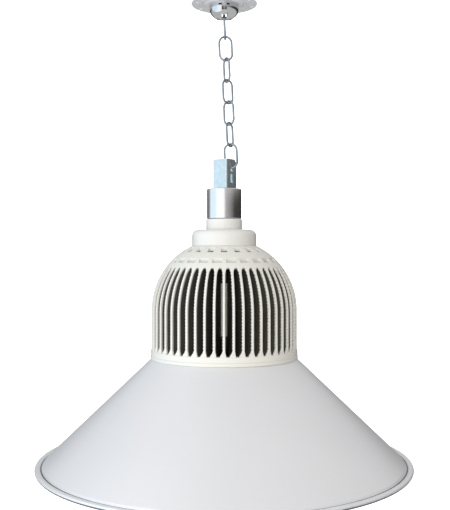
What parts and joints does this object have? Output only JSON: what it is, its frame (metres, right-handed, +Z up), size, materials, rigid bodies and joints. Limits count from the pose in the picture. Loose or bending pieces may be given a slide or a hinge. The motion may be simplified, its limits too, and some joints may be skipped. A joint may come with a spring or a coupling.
{
  "type": "hanging grow lamp",
  "caption": "Hanging grow lamp: ceiling plate, chain, bracket, screw lampholder, finned heatsink and wide cone reflector.",
  "frame": {"origin": "centre of the ceiling plate's mounting face; the lamp hangs below it", "axes": "+Z up out of the mounting face, -Y towards the viewer, +X to the viewer's right"},
  "size_m": [0.4096, 0.4095, 0.5084],
  "materials": {
    "galvanised": "zinc",
    "chrome_shell": "polished",
    "steel": "zinc plated",
    "polished_shell": "polished",
    "black_rubber": "matt",
    "porcelain": "glazed",
    "brass": "bright",
    "nickel": "plated",
    "dark_glass": "glossy",
    "white_plastic": "satin",
    "white_paint": "die cast, white powder coat",
    "grey_plastic": "matt",
    "green_board": "solder mask",
    "ferrite": "sintered",
    "capacitor_sleeve": "shrink sleeve",
    "red_lead": "insulation",
    "grey_pad": "soft",
    "white_board": "solder mask",
    "white_chip": "phosphor",
    "red_chip": "clear over die",
    "blue_chip": "clear over die",
    "silicone": "translucent",
    "clear_lens": "clear",
    "satin_aluminium": "satin anodised"
  },
  "bodies": {
    "ceiling_mount": {"ceiling_plate": "galvanised", "ceiling_dome": "chrome_shell", "dome_pin": "chrome_shell", "dome_rivets": "steel"},
    "link_1": {"chain_link_1": "galvanised"},
    "link_2": {"chain_link_2": "galvanised"},
    "link_3": {"chain_link_3": "galvanised"},
    "link_4": {"chain_link_4": "galvanised"},
    "link_5": {"chain_link_5": "galvanised"},
    "link_6": {"chain_link_6": "galvanised"},
    "link_7": {"chain_link_7": "galvanised"},
    "lamp": {"bezel": "white_paint", "bezel_screws": "steel", "board_screws": "steel", "bracket_screws": "steel", "cap_screws": "steel", "collar_screws": "steel", "driver_board": "green_board", "driver_cap": "white_paint", "driver_capacitors": "capacitor_sleeve", "driver_coil": "ferrite", "driver_sleeve": "grey_plastic", "driver_transformer": "ferrite", "hanging_bracket": "galvanised", "heatsink": "white_paint", "holder_contact": "brass", "holder_insulator": "porcelain", "holder_screw_shell": "brass", "holder_shell": "polished_shell", "holder_spacers": "steel", "input_leads": "red_lead", "lamp_cap_button": "brass", "lamp_cap_insulator": "dark_glass", "lamp_screw_cap": "nickel", "led_board": "white_board", "led_chips_blue": "blue_chip", "led_chips_red": "red_chip", "led_chips_white": "white_chip", "lens": "clear_lens", "neck_collar": "white_plastic", "output_leads": "red_lead", "reflector": "satin_aluminium", "seal_ring": "silicone", "terminal_screws": "brass", "thermal_pad": "grey_pad", "wire_entry_bush": "black_rubber"}
  },
  "joints": [
    {"name": "link_1_swing", "type": "hinge", "parent": "ceiling_mount", "child": "link_1", "pos_m": [0, 0, -0.0168], "axis": [1, 0, 0], "range_deg": [-25, 25]},
    {"name": "link_2_swing", "type": "hinge", "parent": "link_1", "child": "link_2", "pos_m": [0.00111, 0, -0.03977], "axis": [0, 1, 0], "range_deg": [-25, 25]},
    {"name": "link_3_swing", "type": "hinge", "parent": "link_2", "child": "link_3", "pos_m": [0.00226, 0, -0.06355], "axis": [0.995, 0.0872, 0.0481], "range_deg": [-25, 25]},
    {"name": "link_4_swing", "type": "hinge", "parent": "link_3", "child": "link_4", "pos_m": [0.00341, 0, -0.08732], "axis": [0.4221, -0.9063, 0.0204], "range_deg": [-25, 25]},
    {"name": "link_5_swing", "type": "hinge", "parent": "link_4", "child": "link_5", "pos_m": [0.00456, 0, -0.11109], "axis": [0.7423, 0.6691, 0.0359], "range_deg": [-25, 25]},
    {"name": "link_6_swing", "type": "hinge", "parent": "link_5", "child": "link_6", "pos_m": [0.0057, 0, -0.13486], "axis": [0.7423, -0.6691, 0.0359], "range_deg": [-25, 25]},
    {"name": "link_7_swing", "type": "hinge", "parent": "link_6", "child": "link_7", "pos_m": [0.00685, 0, -0.15863], "axis": [0.4689, 0.8829, 0.0227], "range_deg": [-25, 25]},
    {"name": "lamp_swing", "type": "hinge", "parent": "link_7", "child": "lamp", "pos_m": [0.008, 0, -0.18241], "axis": [0.977, -0.2079, 0.0472], "range_deg": [-15, 15]}
  ]
}
